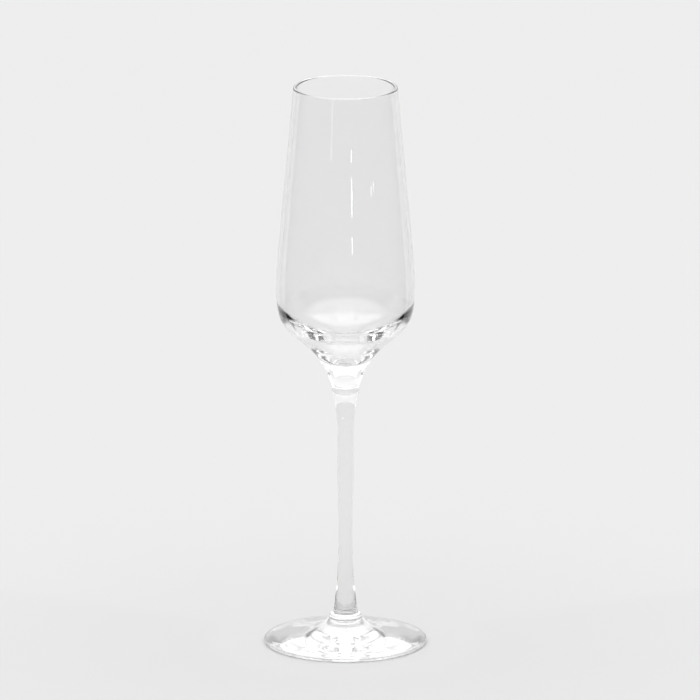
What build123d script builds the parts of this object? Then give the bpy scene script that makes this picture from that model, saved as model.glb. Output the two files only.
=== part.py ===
from build123d import *

import os
from math import asin, cos, degrees, radians, sin, tan

# A champagne flute in clear glass. Three gathers of glass are joined hot, end to end, on one
# vertical axis: a bowl with a solid pointed base, a drawn stem and a trumpet-shaped foot.
# Millimetres, +Z up. Origin: the centre of the plane that the foot rests on.
# Angles are in degrees, and are measured from the vertical unless a name says otherwise.

# Heights above the resting plane
RIM_HEIGHT = 252.8
BELLY_HEIGHT = 161.5
BOWL_JOINT_HEIGHT = 117.0
FOOT_JOINT_HEIGHT = 13.1

# Bowl, outside: straight tapering side, rounded belly, conical base and curved neck
BELLY_RADIUS = 30.7
SIDE_TAPER = 5.3
BELLY_ARC_RADIUS = 170.0
HIP_ARC_RADIUS = 68.0
HIP_ANGLE = 7.5
SHOULDER_ARC_RADIUS = 17.8
CONE_ANGLE = 50.0
CONE_END_RADIUS = 18.7
NECK_ARC_RADIUS = 38.6
NECK_ANGLE = 19.5

# Bowl, inside: an even wall down to the belly, a little thinner just above the inner shoulder,
# then thicker towards the solid base
SIDE_WALL = 1.5
INNER_SHOULDER_RADIUS = 14.0
INNER_CONE_ANGLE = 49.0
INNER_BOTTOM_HEIGHT = 129.0
INNER_BOTTOM_ARC_RADIUS = 11.0

# Joint under the bowl: both pieces have the same radius here, with a small rounding on each edge
BOWL_JOINT_RADIUS = 6.0
BOWL_JOINT_ROUNDING = 0.4

# Stem: a low bead under the bowl, a long waist and a flared end on the foot
STEM_OUTLINE = [
    (6.1, 115.6),
    (5.5, 112.4),
    (4.15, 105.0),
    (3.65, 83.6),
    (3.15, 41.8),
    (3.9, 26.9),
    (4.95, 17.4),
]
STEM_END_RADIUS = 5.6
STEM_END_ANGLE = 12.0

# Foot: a button that takes the stem, a trumpet rise and a thin disc with a rounded edge
FOOT_RADIUS = 36.0
FOOT_EDGE_THICKNESS = 2.0
FOOT_BUTTON_RADIUS = 7.3
FOOT_BUTTON_WIDEST = 11.4
FOOT_BUTTON_BASE = 11.0
FOOT_OUTLINE = [(12.0, 7.0), (20.0, 4.6), (28.5, 3.1)]
FOOT_RISE_ANGLE = 50.0
FOOT_EDGE_SLOPE = 8.0
RING_INNER_RADIUS = 31.0
HOLLOW_DEPTH = 1.5


def ahead(start, heading, length):
    """The point a length ahead of start, along a heading."""
    return start + heading.normalized() * length


def revolved(outline, name):
    """The solid of revolution of a closed outline in the XZ half plane, named for its node."""
    solid = revolve(Plane.XZ * make_face(outline), Axis.Z)
    solid.label = name
    return solid


def bowl_outside():
    """Curves from the joint face's edge up to the lip, in order."""
    hip = JernArc((BELLY_RADIUS, BELLY_HEIGHT), (0, -1), HIP_ARC_RADIUS, -HIP_ANGLE)
    shoulder = JernArc(hip @ 1, hip % 1, SHOULDER_ARC_RADIUS, HIP_ANGLE - CONE_ANGLE)
    cone_length = ((shoulder @ 1).X - CONE_END_RADIUS) / sin(radians(CONE_ANGLE))
    cone = Line(shoulder @ 1, ahead(shoulder @ 1, shoulder % 1, cone_length))
    neck = JernArc(cone @ 1, cone % 1, NECK_ARC_RADIUS, CONE_ANGLE - NECK_ANGLE)
    collar = Line(neck @ 1, (BOWL_JOINT_RADIUS, BOWL_JOINT_HEIGHT + BOWL_JOINT_ROUNDING))
    joint = JernArc(collar @ 1, (0, -1), BOWL_JOINT_ROUNDING, -90)
    belly = JernArc((BELLY_RADIUS, BELLY_HEIGHT), (0, 1), BELLY_ARC_RADIUS, SIDE_TAPER)
    lip_radius = SIDE_WALL / 2
    side_top = RIM_HEIGHT - lip_radius + lip_radius * sin(radians(SIDE_TAPER))
    side_length = (side_top - (belly @ 1).Y) / cos(radians(SIDE_TAPER))
    side = Line(belly @ 1, ahead(belly @ 1, belly % 1, side_length))
    lip = JernArc(side @ 1, side % 1, lip_radius, 180)
    return [joint, collar, neck, cone, shoulder, hip, belly, side, lip]


def bowl_inside():
    """Curves from the bottom of the hollow, on the axis, up to the inner belly."""
    bottom = JernArc((0, INNER_BOTTOM_HEIGHT), (1, 0), INNER_BOTTOM_ARC_RADIUS, 90 - INNER_CONE_ANGLE)
    turn = radians(INNER_CONE_ANGLE)
    wall_radius = BELLY_RADIUS - SIDE_WALL
    shoulder_start = wall_radius - INNER_SHOULDER_RADIUS * (1 - cos(turn))
    cone_length = (shoulder_start - (bottom @ 1).X) / sin(turn)
    cone = Line(bottom @ 1, ahead(bottom @ 1, bottom % 1, cone_length))
    shoulder = JernArc(cone @ 1, cone % 1, INNER_SHOULDER_RADIUS, INNER_CONE_ANGLE)
    upright = Line(shoulder @ 1, (wall_radius, BELLY_HEIGHT))
    belly = JernArc(upright @ 1, (0, 1), BELLY_ARC_RADIUS - SIDE_WALL, SIDE_TAPER)
    return [bottom, cone, shoulder, upright, belly]


def make_bowl():
    """Thin-walled bowl, open at the rim, on its solid base."""
    outside = bowl_outside()
    inside = bowl_inside()
    joint_edge = outside[0] @ 1
    closing = [
        Line(outside[-1] @ 1, inside[-1] @ 1),
        Line((0, INNER_BOTTOM_HEIGHT), (0, BOWL_JOINT_HEIGHT)),
        Line((0, BOWL_JOINT_HEIGHT), joint_edge),
    ]
    return revolved(outside + inside + closing, "bowl")


def make_stem():
    """Solid stem, from the bead under the bowl down to the flare on the foot."""
    joint_edge = BOWL_JOINT_RADIUS - BOWL_JOINT_ROUNDING
    top = Line((0, BOWL_JOINT_HEIGHT), (joint_edge, BOWL_JOINT_HEIGHT))
    rounding = JernArc(top @ 1, (1, 0), BOWL_JOINT_ROUNDING, -90)
    foot_end = (STEM_END_RADIUS, FOOT_JOINT_HEIGHT)
    flare = (tan(radians(STEM_END_ANGLE)), -1)
    waist = Spline([rounding @ 1, *STEM_OUTLINE, foot_end], tangents=[(0, -1), flare])
    base = Line(foot_end, (0, FOOT_JOINT_HEIGHT))
    axis = Line((0, FOOT_JOINT_HEIGHT), (0, BOWL_JOINT_HEIGHT))
    return revolved([top, rounding, waist, base, axis], "stem")


def make_foot():
    """Foot disc with its raised button, resting on a flat ring around a shallow hollow."""
    edge_radius = FOOT_EDGE_THICKNESS / 2
    ring_radius = FOOT_RADIUS - edge_radius
    top = Line((0, FOOT_JOINT_HEIGHT), (STEM_END_RADIUS, FOOT_JOINT_HEIGHT))
    widest = (FOOT_BUTTON_RADIUS, FOOT_BUTTON_WIDEST)
    button = TangentArc(widest, top @ 1, tangent=(0, 1))
    tuck = Line(widest, (FOOT_BUTTON_RADIUS, FOOT_BUTTON_BASE))
    rise = radians(FOOT_RISE_ANGLE)
    slope = radians(FOOT_EDGE_SLOPE)
    trumpet = Spline(
        [tuck @ 1, *FOOT_OUTLINE, (ring_radius, FOOT_EDGE_THICKNESS)],
        tangents=[(sin(rise), -cos(rise)), (cos(slope), -sin(slope))],
    )
    edge = ThreePointArc(trumpet @ 1, (FOOT_RADIUS, edge_radius), (ring_radius, 0))
    ring = Line((ring_radius, 0), (RING_INNER_RADIUS, 0))
    hollow_radius = (RING_INNER_RADIUS**2 + HOLLOW_DEPTH**2) / (2 * HOLLOW_DEPTH)
    hollow_turn = degrees(asin(RING_INNER_RADIUS / hollow_radius))
    hollow = JernArc((0, HOLLOW_DEPTH), (1, 0), hollow_radius, -hollow_turn)
    axis = Line((0, HOLLOW_DEPTH), (0, FOOT_JOINT_HEIGHT))
    return revolved([top, button, tuck, trumpet, edge, ring, hollow, axis], "foot")


os.makedirs("parts", exist_ok=True)
for piece in (make_bowl(), make_stem(), make_foot()):
    export_step(piece, f"parts/{piece.label}.step")
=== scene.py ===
from math import asin, cos, hypot, pi, radians, sin, tan

import bpy
import numpy as np
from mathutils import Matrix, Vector


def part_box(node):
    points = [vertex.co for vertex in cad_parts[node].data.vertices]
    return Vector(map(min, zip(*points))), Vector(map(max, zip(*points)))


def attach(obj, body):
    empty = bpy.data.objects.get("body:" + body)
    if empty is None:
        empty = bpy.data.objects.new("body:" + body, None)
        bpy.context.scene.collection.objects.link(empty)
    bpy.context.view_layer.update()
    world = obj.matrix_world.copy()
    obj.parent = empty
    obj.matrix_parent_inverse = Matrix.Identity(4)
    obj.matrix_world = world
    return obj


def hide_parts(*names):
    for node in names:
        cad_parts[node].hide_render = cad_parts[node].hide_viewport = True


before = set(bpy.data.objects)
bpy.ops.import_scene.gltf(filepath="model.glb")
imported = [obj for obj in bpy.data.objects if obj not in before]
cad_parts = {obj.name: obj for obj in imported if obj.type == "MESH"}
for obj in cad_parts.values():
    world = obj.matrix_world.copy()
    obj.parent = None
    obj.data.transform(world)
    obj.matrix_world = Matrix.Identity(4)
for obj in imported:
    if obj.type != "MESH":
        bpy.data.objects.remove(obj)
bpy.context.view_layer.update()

# A champagne flute: three closed meshes, turned from outlines, stand for the CAD's bowl, stem and foot.
# Metres, in the CAD model's frame: +Z up the glass, z = 0 where it stands, and -Y towards the camera.
# Angles are in degrees.
MM = 0.001


def overall_radius(node):
    """The smallest of the four half widths of a CAD piece's box, so a round piece stays inside it."""
    box_low, box_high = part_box(node)
    return min(-box_low.x, -box_low.y, box_high.x, box_high.y)


# Joint heights and overall radii come from the CAD pieces.
RIM_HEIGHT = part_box("bowl")[1].z
BOWL_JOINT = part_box("bowl")[0].z
FOOT_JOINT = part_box("foot")[1].z
BELLY_RADIUS = overall_radius("bowl")
FOOT_RADIUS = overall_radius("foot")

# Each piece stops this far short of a joint, so that no two faces lie in one place.
JOINT_GAP = 0.005 * MM

# Bowl, outside
BELLY_HEIGHT = 161.5 * MM
SIDE_TAPER = 5.3
BELLY_ARC = 170 * MM
HIP_ARC = 68 * MM
HIP_ANGLE = 7.5
SHOULDER_ARC = 17.8 * MM
CONE_ANGLE = 50.0
CONE_END = 18.7 * MM
NECK_ARC = 38.6 * MM
NECK_ANGLE = 19.5
JOINT_RADIUS = 6.0 * MM
JOINT_EDGE = 0.4 * MM

# Bowl, inside
SIDE_WALL = 1.5 * MM
INNER_BOTTOM = 129.0 * MM
INNER_BOTTOM_ARC = 11.0 * MM
INNER_CONE = 49.0
INNER_SHOULDER = 14.0 * MM

# Stem: points (r, z) in millimetres between its two ends, and the slope dr/dz at the lower end
STEM_OUTLINE = [
    (6.1, 115.6),
    (5.5, 112.4),
    (4.15, 105.0),
    (3.65, 83.6),
    (3.15, 41.8),
    (3.9, 26.9),
    (4.95, 17.4),
]
STEM_END = 5.6 * MM
STEM_END_SLOPE = -0.21

# Foot: FOOT_OUTLINE has points (r, z) in millimetres between the button and the edge
EDGE_HALF = 1.0 * MM
BUTTON_RADIUS = 7.3 * MM
BUTTON_WIDEST = 11.4 * MM
BUTTON_BASE = 11.0 * MM
FOOT_OUTLINE = [(12.0, 7.0), (20.0, 4.6), (28.5, 3.1)]
FOOT_RISE = 50.0
FOOT_SLOPE = 8.0
RING_INNER = 31.0 * MM
HOLLOW = 1.5 * MM

# Meshes
AROUND = 256
ARC_STEP = 2.0
LINE_STEP = 1.3 * MM
SAME_POINT = 0.001 * MM
SHARP_ANGLE = 25.0

# Waves left by hot working: depth, how many round the piece, and their length along the outline
BOWL_WAVES = (0.004 * MM, (2, 9), (14 * MM, 40 * MM))
STEM_WAVES = (0.012 * MM, (2, 6), (35 * MM, 90 * MM))
FOOT_WAVES = (0.010 * MM, (3, 12), (8 * MM, 20 * MM))
WAVE_COUNT = 7
WAVE_FADE = 3 * MM
BOWL_SEED = 11
STEM_SEED = 12
FOOT_SEED = 13

# Glass: its tint falls from GLASS_TINT at EDGE_FROM to a painted shade at EDGE_TO, on a scale of how far
# the surface has turned away from the view: 0 is face on and 1 is edge on. The darker edge is painted
# shade.
GLASS_IOR = 1.52
GLASS_TINT = 0.965
# Painted shade: the glass's colour at its edge-on outlines
EDGE_PAINTED_SHADE = 0.65
EDGE_FROM = 0.60
EDGE_TO = 0.97

# Glass: haze left by wiping, and drawn-out ripples. A stretch under 1 draws the pattern out upwards.
HAZE_SCALE = 55.0
HAZE_STRETCH = 0.4
HAZE_DETAIL = 4
HAZE_FROM = 0.52
HAZE_TO = 0.80
HAZE_ROUGHNESS = 0.03
RIPPLE_SCALE = 130.0
RIPPLE_STRETCH = 0.25
RIPPLE_DETAIL = 2
RIPPLE_STRENGTH = 0.3
RIPPLE_DEPTH = 0.02 * MM

# Floor, just below the glass
FLOOR_HALF = 12.0
FLOOR_DROP = 0.05 * MM
FLOOR_ALBEDO = 0.41
MATT_ROUGHNESS = 0.9
MATT_SPECULAR = 0.1

# Dark cove, seen in reflections only: a sheet just above the floor, from near the foot out to a low
# wall. It reaches this many degrees round each side from the front.
COVE_START = 0.06
COVE_LIFT = 0.0005
COVE_RADIUS = 1.0
COVE_HEIGHT = 0.35
COVE_REACH = 119.0
COVE_STEPS = 60
COVE_ALBEDO = 0.01

# Card of light above and behind: centre, half sides and strength
CARD_CENTRE = (0, 0.95, 0.75)
CARD_RIGHT = (0.55, 0, 0)
CARD_UP = (0, -0.16, 0.26)
CARD_LIGHT = 3.0

# Slits of light seen in the bowl: azimuth from the front, lowest and highest z, half width, strength
SLIT_RADIUS = 0.97
SLITS = [
    (11.7, 0.172, 0.178, 0.014, 9.0),
    (11.7, 0.144, 0.163, 0.014, 7.0),
    (11.7, 0.126, 0.134, 0.014, 6.0),
    (-28.0, 0.168, 0.21, 0.03, 1.0),
    (49.0, 0.1385, 0.1435, 0.012, 4.0),
    (54.0, 0.1365, 0.1425, 0.012, 4.0),
]

# Studio light by direction, and where one level gives way to the next. A direction's Y is -1 at the
# front and 1 at the back, and its Z is 1 overhead.
FRONT_LIGHT = 0.45
SIDE_LIGHT = 0.10
BACK_LIGHT = 1.0
CEILING_LIGHT = 3.5
FRONT_TO_SIDE = (-0.95, -0.5)
SIDE_TO_BACK = (-0.05, 0.25)
WALL_TO_CEILING = (0.55, 0.85)

# Camera: a long lens, in millimetres as its sensor is
CAMERA_PITCH = 14.5
CAMERA_DISTANCE = 6.404
CAMERA_AIM = (0.002, 0, 0.1333)
CAMERA_REACH = 100
LENS = 745.714
SENSOR = 36

# Light runs round inside the wall of the glass, so the look of the lip depends on this number.
BOUNCES = 72


# ---------------------------------------------------------------- outlines

def arc(start, heading, radius, turn):
    """Points (r, z) of an arc. A heading is measured from +Z towards +r; a positive turn is clockwise."""
    side = 1 if turn > 0 else -1
    sweep = abs(radians(turn))
    steps = max(3, int(sweep / radians(ARC_STEP)), int(sweep * radius / LINE_STEP))
    angles = np.radians(heading + turn * np.linspace(0, 1, steps + 1))
    r = start[0] + side * radius * (np.cos(angles[0]) - np.cos(angles))
    z = start[1] + side * radius * (np.sin(angles) - np.sin(angles[0]))
    return np.stack([r, z], 1)


def line(start, end):
    """Points (r, z) of a straight run."""
    length = hypot(end[0] - start[0], end[1] - start[1])
    t = np.linspace(0, 1, max(2, int(length / LINE_STEP) + 1))[:, None]
    return np.asarray(start) + (np.asarray(end) - np.asarray(start)) * t


def spline(points, start_slope, end_slope):
    """A smooth curve r(z) through points (r, z), with dr/dz given at both ends."""
    r, z = np.asarray(points, float).T
    count = len(z)
    gap = np.diff(z)
    matrix = np.eye(count)
    known = np.zeros(count)
    known[0] = start_slope
    known[-1] = end_slope
    for i in range(1, count - 1):
        matrix[i, i - 1] = 1 / gap[i - 1]
        matrix[i, i] = 2 * (1 / gap[i - 1] + 1 / gap[i])
        matrix[i, i + 1] = 1 / gap[i]
        known[i] = 3 * ((r[i] - r[i - 1]) / gap[i - 1] ** 2 + (r[i + 1] - r[i]) / gap[i] ** 2)
    slope = np.linalg.solve(matrix, known)
    spans = []
    for i in range(count - 1):
        t = np.linspace(0, 1, max(4, int(abs(gap[i]) / LINE_STEP) + 2))
        if i < count - 2:
            t = t[:-1]
        curve = (
            r[i] * (2 * t**3 - 3 * t**2 + 1)
            + r[i + 1] * (3 * t**2 - 2 * t**3)
            + gap[i] * slope[i] * (t**3 - 2 * t**2 + t)
            + gap[i] * slope[i + 1] * (t**3 - t**2)
        )
        spans.append(np.stack([curve, z[i] + gap[i] * t], 1))
    return np.concatenate(spans)


def backwards(*runs):
    """Each run with its points in the opposite order."""
    return [run[::-1] for run in runs]


# Each outline is a list of runs and the set of the runs' numbers that are joint faces.

def bowl_outline():
    """From the joint's centre round the outside, over the lip and down the inside to the axis."""
    half = SIDE_WALL / 2
    belly = arc((BELLY_RADIUS, BELLY_HEIGHT), 0, BELLY_ARC, -SIDE_TAPER)
    top = RIM_HEIGHT - half + half * sin(radians(SIDE_TAPER))
    side = line(belly[-1], (belly[-1][0] - (top - belly[-1][1]) * tan(radians(SIDE_TAPER)), top))
    lip = arc(side[-1], -SIDE_TAPER, half, -180)
    hip = arc((BELLY_RADIUS, BELLY_HEIGHT), 180, HIP_ARC, HIP_ANGLE)
    shoulder = arc(hip[-1], 180 + HIP_ANGLE, SHOULDER_ARC, CONE_ANGLE - HIP_ANGLE)
    drop = (shoulder[-1][0] - CONE_END) / tan(radians(CONE_ANGLE))
    cone = line(shoulder[-1], (CONE_END, shoulder[-1][1] - drop))
    neck = arc(cone[-1], 180 + CONE_ANGLE, NECK_ARC, NECK_ANGLE - CONE_ANGLE)
    base_z = BOWL_JOINT + JOINT_GAP
    collar_end = (JOINT_RADIUS, base_z + JOINT_EDGE)
    collar = line(neck[-1], collar_end)
    edge = arc(collar_end, 180, JOINT_EDGE, 90)
    cap = line((0, base_z), edge[-1])

    wall_radius = BELLY_RADIUS - SIDE_WALL
    bottom = arc((0, INNER_BOTTOM), 90, INNER_BOTTOM_ARC, INNER_CONE - 90)
    cone_top = wall_radius - INNER_SHOULDER * (1 - cos(radians(INNER_CONE)))
    climb = (cone_top - bottom[-1][0]) / tan(radians(INNER_CONE))
    in_cone = line(bottom[-1], (cone_top, bottom[-1][1] + climb))
    in_shoulder = arc(in_cone[-1], INNER_CONE, INNER_SHOULDER, -INNER_CONE)
    upright = line(in_shoulder[-1], (wall_radius, BELLY_HEIGHT))
    in_belly = arc(upright[-1], 0, BELLY_ARC - SIDE_WALL, -SIDE_TAPER)
    in_side = line(in_belly[-1], lip[-1])

    outside = [cap, *backwards(edge, collar, neck, cone, shoulder, hip), belly, side, lip]
    inside = backwards(in_side, in_belly, upright, in_shoulder, in_cone, bottom)
    return outside + inside, {0}


def stem_outline():
    """From the lower joint's centre up the outside to the upper joint's centre."""
    top_z = BOWL_JOINT - JOINT_GAP
    base_z = FOOT_JOINT + JOINT_GAP
    edge = arc((JOINT_RADIUS - JOINT_EDGE, top_z), 90, JOINT_EDGE, 90)
    points = [(r * MM, z * MM) for r, z in STEM_OUTLINE]
    end = (STEM_END, base_z)
    waist = spline([end, *reversed(points), tuple(edge[-1])], STEM_END_SLOPE, 0.0)
    base = line((0, base_z), end)
    top = line(edge[0], (0, top_z))
    return [base, waist, edge[::-1], top], {0, 3}


def foot_outline():
    """From the hollow's centre round the edge and up to the joint's centre."""
    ring = FOOT_RADIUS - EDGE_HALF
    rest = line((RING_INNER, 0), (ring, 0))
    hollow_arc = (RING_INNER**2 + HOLLOW**2) / (2 * HOLLOW)
    hollow = arc((0, HOLLOW), 90, hollow_arc, np.degrees(asin(RING_INNER / hollow_arc)))
    edge = arc((ring, 2 * EDGE_HALF), 90, EDGE_HALF, 180)

    # The trumpet is flatter than it is steep, so its curve is z(r): r and z change places and back.
    middle = [(z * MM, r * MM) for r, z in FOOT_OUTLINE]
    points = [(BUTTON_BASE, BUTTON_RADIUS), *middle, (2 * EDGE_HALF, ring)]
    trumpet = spline(points, -tan(radians(90 - FOOT_RISE)), -tan(radians(FOOT_SLOPE)))[:, ::-1]

    tuck = line((BUTTON_RADIUS, BUTTON_BASE), (BUTTON_RADIUS, BUTTON_WIDEST))
    top_z = FOOT_JOINT - JOINT_GAP
    across = BUTTON_RADIUS - STEM_END
    up = top_z - BUTTON_WIDEST
    button_arc = (across**2 + up**2) / (2 * across)
    button = arc((BUTTON_RADIUS, BUTTON_WIDEST), 0, button_arc, -np.degrees(asin(up / button_arc)))
    button[-1] = (STEM_END, top_z)
    cap = line(button[-1], (0, top_z))
    return [hollow, rest, edge[::-1], trumpet[::-1], tuck, button, cap], {6}


# ---------------------------------------------------------------- meshes

def joined(runs):
    """One outline from axis to axis, with no point twice, and the number of each point's run."""
    points, run_of = [], []
    for number, run in enumerate(runs):
        for r, z in run:
            if points and hypot(points[-1][0] - r, points[-1][1] - z) < SAME_POINT:
                continue
            points.append((max(0.0, float(r)), max(0.0, float(z))))
            run_of.append(number)
    points[0] = (0.0, points[0][1])
    points[-1] = (0.0, points[-1][1])
    return np.array(points), run_of


def waves(outline, quiet, seed, depth, around, along):
    """Depth of slow crossed waves at every point and turn, none near the quiet points of the outline."""
    rng = np.random.RandomState(seed)
    turns = np.arange(AROUND) * 2 * pi / AROUND
    travel = np.concatenate([[0], np.cumsum(np.hypot(*np.diff(outline, axis=0).T))])
    total = np.zeros((len(outline), AROUND))
    for _ in range(WAVE_COUNT):
        count = rng.randint(around[0], around[1] + 1) * rng.choice([-1, 1])
        length = rng.uniform(*along)
        phase = rng.uniform(0, 2 * pi)
        total += 0.5 + 0.5 * np.sin(count * turns[None, :] + 2 * pi * travel[:, None] / length + phase)
    distance = np.abs(travel[:, None] - travel[quiet][None, :]).min(1)
    fade = np.clip(distance / WAVE_FADE, 0, 1)
    return depth * total / WAVE_COUNT * (fade * fade * (3 - 2 * fade))[:, None]


def lathe(name, runs, caps, materials, seed, wave):
    """Turns an outline into a closed wavy mesh, with the second material on its joint faces."""
    outline, run_of = joined(runs)
    tangent = np.gradient(outline, axis=0)
    tangent /= np.hypot(*tangent.T)[:, None]
    quiet = [i for i, run in enumerate(run_of) if run in caps or outline[i, 1] == 0]
    inward = waves(outline, quiet + [0, len(outline) - 1], seed, *wave)
    turns = np.arange(AROUND) * 2 * pi / AROUND
    verts = [(0, 0, outline[0, 1])]
    for (r, z), (along_r, along_z), depth in zip(outline[1:-1], tangent[1:-1], inward[1:-1]):
        radius = r - along_z * depth
        verts += list(zip(radius * np.cos(turns), radius * np.sin(turns), z + along_r * depth))
    verts.append((0, 0, outline[-1, 1]))

    # The vertices are a pole, a ring for each point between the ends of the outline, and a pole.
    last_ring = 1 + (len(outline) - 3) * AROUND
    faces, on_joint = [], []
    for here in range(AROUND):
        after = (here + 1) % AROUND
        faces.append((0, 1 + after, 1 + here))
        on_joint.append(run_of[1] in caps)
        for ring, run in zip(range(1, last_ring, AROUND), run_of[2:]):
            above = ring + AROUND
            faces.append((ring + here, ring + after, above + after, above + here))
            on_joint.append(run in caps)
        faces.append((last_ring + here, last_ring + after, len(verts) - 1))
        on_joint.append(run_of[-1] in caps)

    mesh = bpy.data.meshes.new(name)
    mesh.from_pydata(verts, [], faces)
    mesh.polygons.foreach_set("use_smooth", [True] * len(faces))
    for material in materials:
        mesh.materials.append(material)
    mesh.polygons.foreach_set("material_index", [int(face) for face in on_joint])
    mesh.validate()
    mesh.update()
    mesh.set_sharp_from_angle(angle=radians(SHARP_ANGLE))
    piece = bpy.data.objects.new(name, mesh)
    bpy.context.scene.collection.objects.link(piece)
    return piece


# ---------------------------------------------------------------- materials

def principled(name, values):
    """A new material, with the named inputs of its Principled shader set."""
    material = bpy.data.materials.new(name)
    material.use_nodes = True
    set_inputs(material.node_tree.nodes["Principled BSDF"], values)
    return material


def set_inputs(node, values):
    """Sets a node's inputs by name."""
    for name, value in values.items():
        node.inputs[name].default_value = value


def noise(nodes, links, vector, scale, stretch, detail):
    """A noise texture in object space, drawn out upwards by a stretch under 1."""
    mapping = nodes.new("ShaderNodeMapping")
    set_inputs(mapping, {"Scale": (1, 1, stretch)})
    links.new(vector, mapping.inputs["Vector"])
    texture = nodes.new("ShaderNodeTexNoise")
    set_inputs(texture, {"Scale": scale, "Detail": detail})
    links.new(mapping.outputs["Vector"], texture.inputs["Vector"])
    return texture.outputs["Fac"]


def painted_edge_shade(nodes, links, shader):
    """Painted shade: a tint that deepens where the surface turns away from the view, so the edges come
    out darker.
    """
    facing = nodes.new("ShaderNodeLayerWeight")
    ramp = nodes.new("ShaderNodeValToRGB")
    ramp.color_ramp.interpolation = "EASE"
    for stop, at, tint in zip(ramp.color_ramp.elements, (EDGE_FROM, EDGE_TO), (GLASS_TINT, EDGE_PAINTED_SHADE)):
        stop.position = at
        stop.color = (tint, tint, tint, 1)
    links.new(facing.outputs["Facing"], ramp.inputs["Fac"])
    links.new(ramp.outputs["Color"], shader.inputs["Base Color"])


def wiping_haze(nodes, links, place, shader):
    """Patches where the surface is very slightly rough."""
    level = nodes.new("ShaderNodeMapRange")
    level.interpolation_type = "SMOOTHSTEP"
    set_inputs(level, {"From Min": HAZE_FROM, "From Max": HAZE_TO})
    set_inputs(level, {"To Min": 0.0, "To Max": HAZE_ROUGHNESS})
    pattern = noise(nodes, links, place, HAZE_SCALE, HAZE_STRETCH, HAZE_DETAIL)
    links.new(pattern, level.inputs["Value"])
    links.new(level.outputs["Result"], shader.inputs["Roughness"])


def ripples(nodes, links, place, shader):
    """Fine ripples, finer than the waves in the mesh."""
    bump = nodes.new("ShaderNodeBump")
    set_inputs(bump, {"Strength": RIPPLE_STRENGTH, "Distance": RIPPLE_DEPTH})
    pattern = noise(nodes, links, place, RIPPLE_SCALE, RIPPLE_STRETCH, RIPPLE_DETAIL)
    links.new(pattern, bump.inputs["Height"])
    links.new(bump.outputs["Normal"], shader.inputs["Normal"])


def glass():
    """Clear fire-polished glass."""
    material = principled("clear_glass", {"IOR": GLASS_IOR, "Transmission Weight": 1.0})
    nodes, links = material.node_tree.nodes, material.node_tree.links
    shader = nodes["Principled BSDF"]
    place = nodes.new("ShaderNodeTexCoord").outputs["Object"]
    # The glass's colour carries painted shade at its edges, darker as it turns edge on.
    painted_edge_shade(nodes, links, shader)
    wiping_haze(nodes, links, place, shader)
    ripples(nodes, links, place, shader)
    return material


def fused():
    """A joint face inside the fused glass, which light passes as if it were not there."""
    looks = {"Base Color": (1, 1, 1, 1), "Roughness": 0.0, "IOR": 1.0, "Transmission Weight": 1.0}
    return principled("fused_joint", looks)


def matt(name, albedo):
    """A plain grey surface with no gloss."""
    colour = (albedo, albedo, albedo, 1)
    looks = {"Base Color": colour, "Roughness": MATT_ROUGHNESS, "Specular IOR Level": MATT_SPECULAR}
    return principled(name, looks)


def emitter(name, strength):
    """A glowing white material that is never sampled as a lamp."""
    black, white = (0, 0, 0, 1), (1, 1, 1, 1)
    looks = {"Base Color": black, "Emission Color": white, "Emission Strength": strength}
    material = principled(name, looks)
    material.cycles.emission_sampling = "NONE"
    return material


# ---------------------------------------------------------------- the glass

clear, joint = glass(), fused()
bowl = lathe("bowl_glass", *bowl_outline(), [clear, joint], BOWL_SEED, BOWL_WAVES)
stem = lathe("stem_glass", *stem_outline(), [clear, joint], STEM_SEED, STEM_WAVES)
foot = lathe("foot_glass", *foot_outline(), [clear, joint], FOOT_SEED, FOOT_WAVES)
for piece, node in ((bowl, "bowl"), (stem, "stem"), (foot, "foot")):
    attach(piece, "root")
    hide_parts(node)


# ---------------------------------------------------------------- stage

def sheet(name, rows, material):
    """A surface through rows of points, linked into the scene."""
    count = len(rows[0])
    faces = []
    for k in range(len(rows) - 1):
        for i in range(count - 1):
            low_point, high_point = k * count + i, (k + 1) * count + i
            faces.append((low_point, low_point + 1, high_point + 1, high_point))
    mesh = bpy.data.meshes.new(name)
    mesh.from_pydata([point for row in rows for point in row], [], faces)
    mesh.materials.append(material)
    surface = bpy.data.objects.new(name, mesh)
    bpy.context.scene.collection.objects.link(surface)
    return surface


def unseen(surface):
    """Hides a sheet from the camera, the shadows and the floor, so that only the glass shows it."""
    surface.visible_camera = False
    surface.visible_shadow = False
    surface.visible_diffuse = False
    return surface


def rectangle(centre, right, up):
    """Rows of points for a flat rectangle with half sides right and up."""
    c, r, u = Vector(centre), Vector(right), Vector(up)
    return [[c - r - u, c + r - u], [c - r + u, c + r + u]]


def curved(*section):
    """Rows of points for a section of (radius, z) swept round the front and the sides."""
    turns = np.radians(np.linspace(-COVE_REACH, COVE_REACH, COVE_STEPS + 1))
    return [[(r * sin(a), -r * cos(a), z) for a in turns] for r, z in section]


flat = rectangle((0, 0, -FLOOR_DROP), (FLOOR_HALF, 0, 0), (0, FLOOR_HALF, 0))
sheet("floor", flat, matt("pale_floor", FLOOR_ALBEDO))

cove = curved((COVE_START, COVE_LIFT), (COVE_RADIUS, COVE_LIFT), (COVE_RADIUS, COVE_HEIGHT))
dark = unseen(sheet("dark_cove", cove, matt("cove_black", COVE_ALBEDO)))
dark.visible_transmission = False

card = rectangle(CARD_CENTRE, CARD_RIGHT, CARD_UP)
unseen(sheet("top_card", card, emitter("card_light", CARD_LIGHT)))

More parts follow.
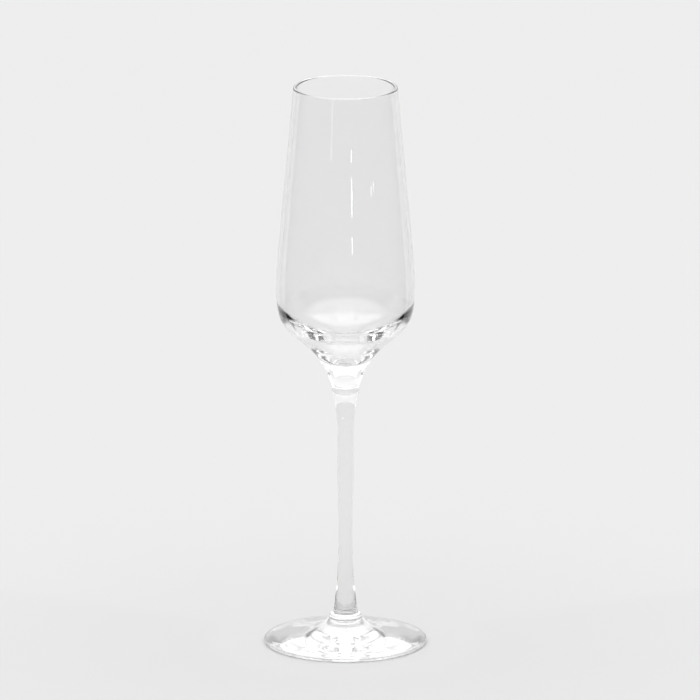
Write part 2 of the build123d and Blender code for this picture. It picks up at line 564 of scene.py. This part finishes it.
for number, (azimuth, low_z, high_z, half, strength) in enumerate(SLITS):
    x, y = sin(radians(azimuth)), -cos(radians(azimuth))
    middle = (SLIT_RADIUS * x, SLIT_RADIUS * y, (low_z + high_z) / 2)
    slit = rectangle(middle, (-half * y, half * x, 0), (0, 0, (high_z - low_z) / 2))
    unseen(sheet(f"slit_{number}", slit, emitter(f"slit_light_{number}", strength)))


# ---------------------------------------------------------------- studio light

world = bpy.data.worlds.new("studio")
bpy.context.scene.world = world
world.use_nodes = True
sky_nodes, sky_links = world.node_tree.nodes, world.node_tree.links


def blended(source, limits, before, after):
    """A smooth step from one level to the next, as a socket's value passes the limits. The first level
    is a number or a socket of its own."""
    step = sky_nodes.new("ShaderNodeMapRange")
    step.interpolation_type = "SMOOTHSTEP"
    sky_links.new(source, step.inputs["Value"])
    set_inputs(step, {"From Min": limits[0], "From Max": limits[1], "To Max": after})
    if isinstance(before, float):
        set_inputs(step, {"To Min": before})
    else:
        sky_links.new(before, step.inputs["To Min"])
    return step.outputs["Result"]


direction = sky_nodes.new("ShaderNodeTexCoord")
axes = sky_nodes.new("ShaderNodeSeparateXYZ")
sky_links.new(direction.outputs["Generated"], axes.inputs[0])
front_and_sides = blended(axes.outputs["Y"], FRONT_TO_SIDE, FRONT_LIGHT, SIDE_LIGHT)
walls = blended(axes.outputs["Y"], SIDE_TO_BACK, front_and_sides, BACK_LIGHT)
sky = blended(axes.outputs["Z"], WALL_TO_CEILING, walls, CEILING_LIGHT)
sky_links.new(sky, sky_nodes["Background"].inputs["Color"])
set_inputs(sky_nodes["Background"], {"Strength": 1.0})


# ---------------------------------------------------------------- camera

camera_data = bpy.data.cameras.new("camera")
camera_data.lens = LENS
camera_data.sensor_width = SENSOR
camera_data.clip_end = CAMERA_REACH
camera = bpy.data.objects.new("camera", camera_data)
bpy.context.scene.collection.objects.link(camera)
away = Vector((0, -cos(radians(CAMERA_PITCH)), sin(radians(CAMERA_PITCH))))
camera.location = Vector(CAMERA_AIM) + away * CAMERA_DISTANCE
camera.rotation_mode = "QUATERNION"
camera.rotation_quaternion = (-away).to_track_quat("-Z", "Y")
bpy.context.scene.camera = camera

scene = bpy.context.scene
scene.view_settings.view_transform = "Standard"
scene.cycles.max_bounces = BOUNCES
scene.cycles.transmission_bounces = BOUNCES
scene.cycles.glossy_bounces = BOUNCES
